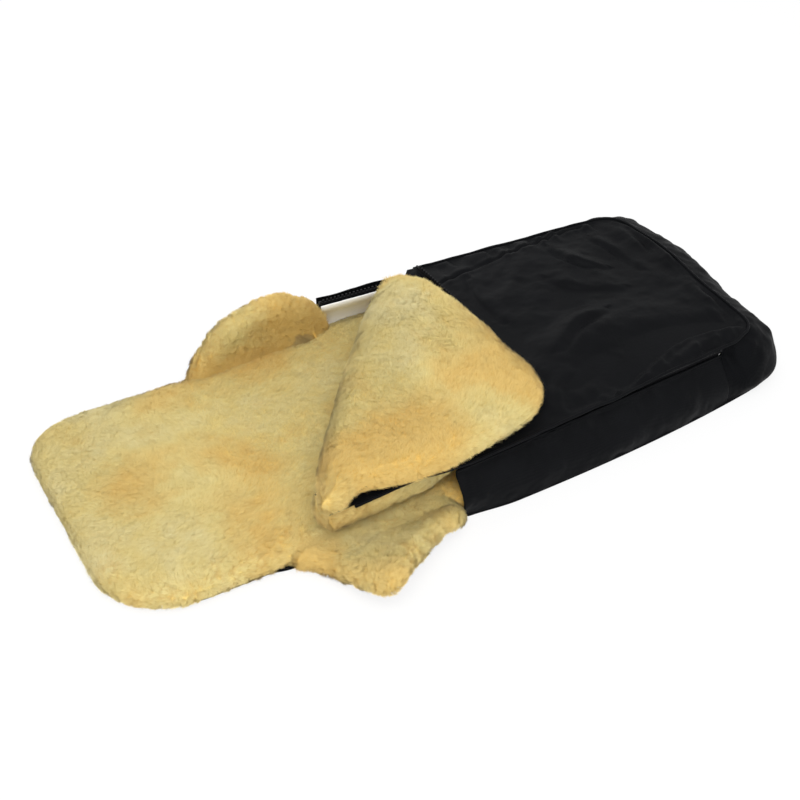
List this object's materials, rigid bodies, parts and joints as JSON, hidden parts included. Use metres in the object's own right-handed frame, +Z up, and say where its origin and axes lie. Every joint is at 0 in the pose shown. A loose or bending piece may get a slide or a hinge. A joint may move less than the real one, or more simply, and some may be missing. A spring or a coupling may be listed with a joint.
{
  "type": "sheepskin footmuff",
  "caption": "Pushchair footmuff of golden lambskin in a black nylon pouch, two side zips, shoulder wings, one cover corner folded back",
  "frame": {"origin": "on the flat underside of the back panel, half way along the body and on its centre line", "axes": "+X from the head edge to the foot, +Y to the far side, +Z up from the surface it lies on"},
  "size_m": [0.9965, 0.5313, 0.1252],
  "materials": {
    "nylon": "matt woven nylon",
    "fleece": "golden lambskin, dense curly wool",
    "lining": "smooth white woven lining",
    "zip_tape": "woven tape",
    "zip_teeth": "moulded plastic",
    "zip_metal": "die-cast, dull"
  },
  "bodies": {
    "pouch": {"back_shell": "nylon", "back_sheepskin": "fleece", "near_gusset_shell": "nylon", "far_gusset_shell": "nylon", "foot_wall_shell": "nylon", "near_gusset_lining": "lining", "far_gusset_lining": "lining", "foot_wall_lining": "lining", "cover_shell": "nylon", "cover_sheepskin": "fleece", "cover_piping": "nylon", "near_gusset_tape": "zip_tape", "near_gusset_teeth": "zip_teeth", "near_gusset_stop": "zip_metal", "near_cover_tape": "zip_tape", "near_cover_teeth": "zip_teeth", "near_cover_stop": "zip_metal", "near_bottom_stop": "zip_metal", "far_gusset_tape": "zip_tape", "far_gusset_teeth": "zip_teeth", "far_gusset_stop": "zip_metal", "far_cover_tape": "zip_tape", "far_cover_teeth": "zip_teeth", "far_bottom_stop": "zip_metal"},
    "flap": {"flap_shell": "nylon", "flap_sheepskin": "fleece", "flap_piping": "nylon", "flap_tape": "zip_tape", "flap_teeth": "zip_teeth", "flap_stop": "zip_metal"},
    "near_wing": {"near_wing_shell": "nylon", "near_wing_sheepskin": "fleece"},
    "far_wing": {"far_wing_shell": "nylon", "far_wing_sheepskin": "fleece"},
    "near_slider": {"near_slider_front": "zip_metal", "near_slider_back": "zip_metal"},
    "far_slider": {"far_slider_front": "zip_metal", "far_slider_back": "zip_metal"},
    "near_pull_tab": {"near_pull": "zip_metal"},
    "far_pull_tab": {"far_pull": "zip_metal"}
  },
  "joints": [
    {"name": "flap_fold", "type": "hinge", "parent": "pouch", "child": "flap", "pos_m": [-0.08774, -0.01062, 0.0964], "axis": [-0.6561, -0.7547, 0], "range_deg": [0, 179.8]},
    {"name": "near_wing_fold", "type": "hinge", "parent": "pouch", "child": "near_wing", "pos_m": [-0.284, -0.203, 0.003], "axis": [-0.9983, 0.0578, 0], "range_deg": [-20, 45]},
    {"name": "far_wing_fold", "type": "hinge", "parent": "pouch", "child": "far_wing", "pos_m": [-0.284, 0.203, 0.003], "axis": [0.9983, 0.0578, 0], "range_deg": [-90, 3]},
    {"name": "near_zip_slide", "type": "slide", "parent": "pouch", "child": "near_slider", "axis": [0.9982, 0.0604, 0], "range_m": [0, 0.39]},
    {"name": "far_zip_slide", "type": "slide", "parent": "pouch", "child": "far_slider", "axis": [0.9982, -0.0604, 0], "range_m": [0, 0.249]},
    {"name": "near_pull_swing", "type": "hinge", "parent": "near_slider", "child": "near_pull_tab", "pos_m": [-0.04619, -0.20315, 0.078], "axis": [0, 0, -1], "range_deg": [0, 180]},
    {"name": "far_pull_swing", "type": "hinge", "parent": "far_slider", "child": "far_pull_tab", "pos_m": [0.09425, 0.19465, 0.078], "axis": [0, 0, 1], "range_deg": [0, 180]}
  ]
}
